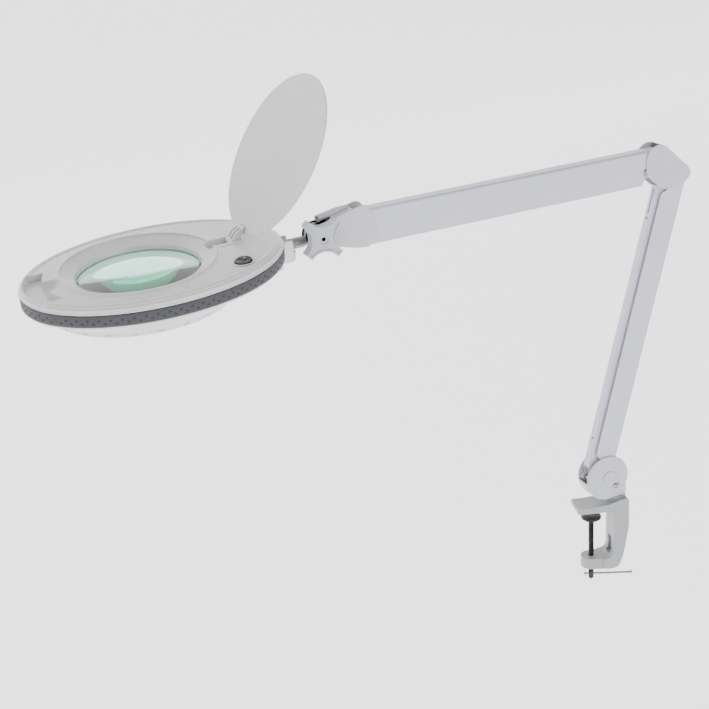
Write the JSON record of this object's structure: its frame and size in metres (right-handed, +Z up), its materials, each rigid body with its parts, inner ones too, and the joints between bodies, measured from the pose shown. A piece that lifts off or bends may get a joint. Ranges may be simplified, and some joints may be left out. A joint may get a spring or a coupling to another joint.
{
  "type": "clamp-on magnifying lamp",
  "caption": "Desk-clamp magnifying lamp: covered parallelogram arm, oval ring-light head with a round lens under a hinged lid, and a lobed tilt knob.",
  "frame": {"origin": "underside of the clamp plate, on the axis of the clamp screw, where the top of a desk edge would meet it", "axes": "+Z up; +X along the arm plane from the head towards the elbow side; +Y away from the tilt knob, square to the arm plane"},
  "size_m": [0.7884, 0.2193, 0.6762],
  "materials": {
    "white_paint": "smooth satin powder coat on steel channel",
    "cover_plastic": "satin moulded plastic",
    "white_plastic": "semi-gloss moulded plastic",
    "cast_paint": "light grey paint on a die casting",
    "knob_plastic": "satin moulded plastic",
    "grey_rubber": "soft matt dimpled rubber",
    "black_plastic": "matt black",
    "dark_steel": "dark phosphated steel",
    "stem_steel": "dull zinc plating",
    "bright_steel": "bright zinc plating",
    "lens_glass": "clear polished glass with a green tint",
    "led_board_mask": "white solder mask",
    "diffuser_plastic": "translucent frosted plastic",
    "lid_plastic": "smooth satin plastic"
  },
  "bodies": {
    "clamp": {"clamp_frame": "cast_paint"},
    "pad": {"clamp_pad": "black_plastic"},
    "screw": {"clamp_screw": "dark_steel"},
    "tommy": {"tommy_bar": "bright_steel"},
    "base": {"swivel_pin": "bright_steel", "base_bracket": "cover_plastic", "base_cover_front": "cover_plastic", "base_cover_back": "cover_plastic", "base_screw": "bright_steel", "base_pin_outer": "bright_steel", "base_pin_inner": "bright_steel"},
    "lower_arm": {"lower_outer_channel": "white_paint", "lower_spring": "bright_steel"},
    "lower_link": {"lower_inner_channel": "white_paint"},
    "elbow": {"elbow_bracket": "dark_steel", "elbow_cover_front": "cover_plastic", "elbow_cover_back": "cover_plastic", "elbow_pin_lower_outer": "bright_steel", "elbow_pin_lower_inner": "bright_steel", "elbow_pin_upper_outer": "bright_steel", "elbow_pin_upper_inner": "bright_steel"},
    "upper_arm": {"upper_outer_channel": "white_paint", "upper_spring": "bright_steel"},
    "upper_link": {"upper_inner_channel": "white_paint"},
    "wrist": {"wrist_bracket": "dark_steel", "wrist_cover_front": "cover_plastic", "wrist_cover_back": "cover_plastic", "wrist_roof": "cover_plastic", "wrist_pin_outer": "bright_steel", "wrist_pin_inner": "bright_steel", "friction_ring_front": "black_plastic", "friction_ring_back": "black_plastic", "tilt_bolt": "bright_steel"},
    "knob": {"tilt_knob": "knob_plastic"},
    "neck": {"tilt_eye": "cast_paint"},
    "stem": {"head_stem": "stem_steel"},
    "head": {"upper_housing": "white_plastic", "bumper_ring": "grey_rubber", "lower_housing": "white_plastic", "lens": "lens_glass", "led_board": "led_board_mask", "light_diffuser": "diffuser_plastic", "lid_hinge_pin": "bright_steel", "switch_bezel": "white_plastic"},
    "lid": {"lid": "lid_plastic", "lid_hinge_arm": "white_plastic"},
    "switch": {"switch_rocker": "black_plastic"}
  },
  "joints": [
    {"name": "pad_slide", "type": "slide", "parent": "clamp", "child": "pad", "axis": [0, 0, 1], "range_m": [-0.045, 0.009]},
    {"name": "screw_turn", "type": "hinge", "parent": "pad", "child": "screw", "pos_m": [0, 0, -0.05], "axis": [0, 0, 1], "range_deg": [-10801, 2161]},
    {"name": "tommy_slide", "type": "slide", "parent": "screw", "child": "tommy", "axis": [0.9223, -0.3864, 0], "range_m": [-0.042, 0.002]},
    {"name": "base_swivel", "type": "hinge", "parent": "clamp", "child": "base", "pos_m": [0.03158, -0.00725, 0.015], "axis": [0, 0, 1], "continuous": true},
    {"name": "lower_arm_hinge", "type": "hinge", "parent": "base", "child": "lower_arm", "pos_m": [0.01258, -0.00725, 0.0464], "axis": [0, 1, 0], "range_deg": [-45, 20]},
    {"name": "lower_link_hinge", "type": "hinge", "parent": "base", "child": "lower_link", "pos_m": [-0.00812, -0.00725, 0.0464], "axis": [0, 1, 0], "range_deg": [-45, 20]},
    {"name": "elbow_hinge", "type": "hinge", "parent": "lower_arm", "child": "elbow", "pos_m": [0.11328, -0.00725, 0.417], "axis": [0, 1, 0], "range_deg": [-20, 45]},
    {"name": "upper_arm_hinge", "type": "hinge", "parent": "elbow", "child": "upper_arm", "pos_m": [0.08008, -0.00725, 0.4424], "axis": [0, 1, 0], "range_deg": [-25, 35]},
    {"name": "upper_link_hinge", "type": "hinge", "parent": "elbow", "child": "upper_link", "pos_m": [0.07258, -0.00725, 0.4207], "axis": [0, 1, 0], "range_deg": [-25, 35]},
    {"name": "wrist_hinge", "type": "hinge", "parent": "upper_arm", "child": "wrist", "pos_m": [-0.30325, -0.00725, 0.41963], "axis": [0, 1, 0], "range_deg": [-35, 25]},
    {"name": "knob_turn", "type": "hinge", "parent": "wrist", "child": "knob", "pos_m": [-0.34332, -0.00725, 0.4056], "axis": [0, -1, 0], "range_deg": [-180, 90]},
    {"name": "head_tilt", "type": "hinge", "parent": "wrist", "child": "neck", "pos_m": [-0.34332, -0.00725, 0.4056], "axis": [0, 1, 0], "range_deg": [-90, 60]},
    {"name": "head_roll", "type": "hinge", "parent": "neck", "child": "stem", "pos_m": [-0.38022, -0.00725, 0.3978], "axis": [0.9971, 0, 0.0767], "range_deg": [-90, 90]},
    {"name": "head_yaw", "type": "hinge", "parent": "stem", "child": "head", "pos_m": [-0.38022, -0.00725, 0.3978], "axis": [-0.0764, -0.0913, 0.9929], "range_deg": [-17, 9]},
    {"name": "lid_hinge", "type": "hinge", "parent": "head", "child": "lid", "pos_m": [-0.4404, -0.01316, 0.41277], "axis": [-0.0764, 0.9934, 0.0855], "range_deg": [-124, 0]},
    {"name": "switch_rock", "type": "hinge", "parent": "head", "child": "switch", "pos_m": [-0.44673, -0.07978, 0.40797], "axis": [0.8004, -0.5994, 0.0064], "range_deg": [-12, 0]}
  ],
  "couplings": [
    {"joint": "screw_turn", "follows": "pad_slide", "rad_per_m": 4188.8},
    {"joint": "lower_link_hinge", "follows": "lower_arm_hinge", "ratio": 1},
    {"joint": "elbow_hinge", "follows": "lower_arm_hinge", "ratio": -1},
    {"joint": "upper_link_hinge", "follows": "upper_arm_hinge", "ratio": 1},
    {"joint": "wrist_hinge", "follows": "upper_arm_hinge", "ratio": -1}
  ]
}
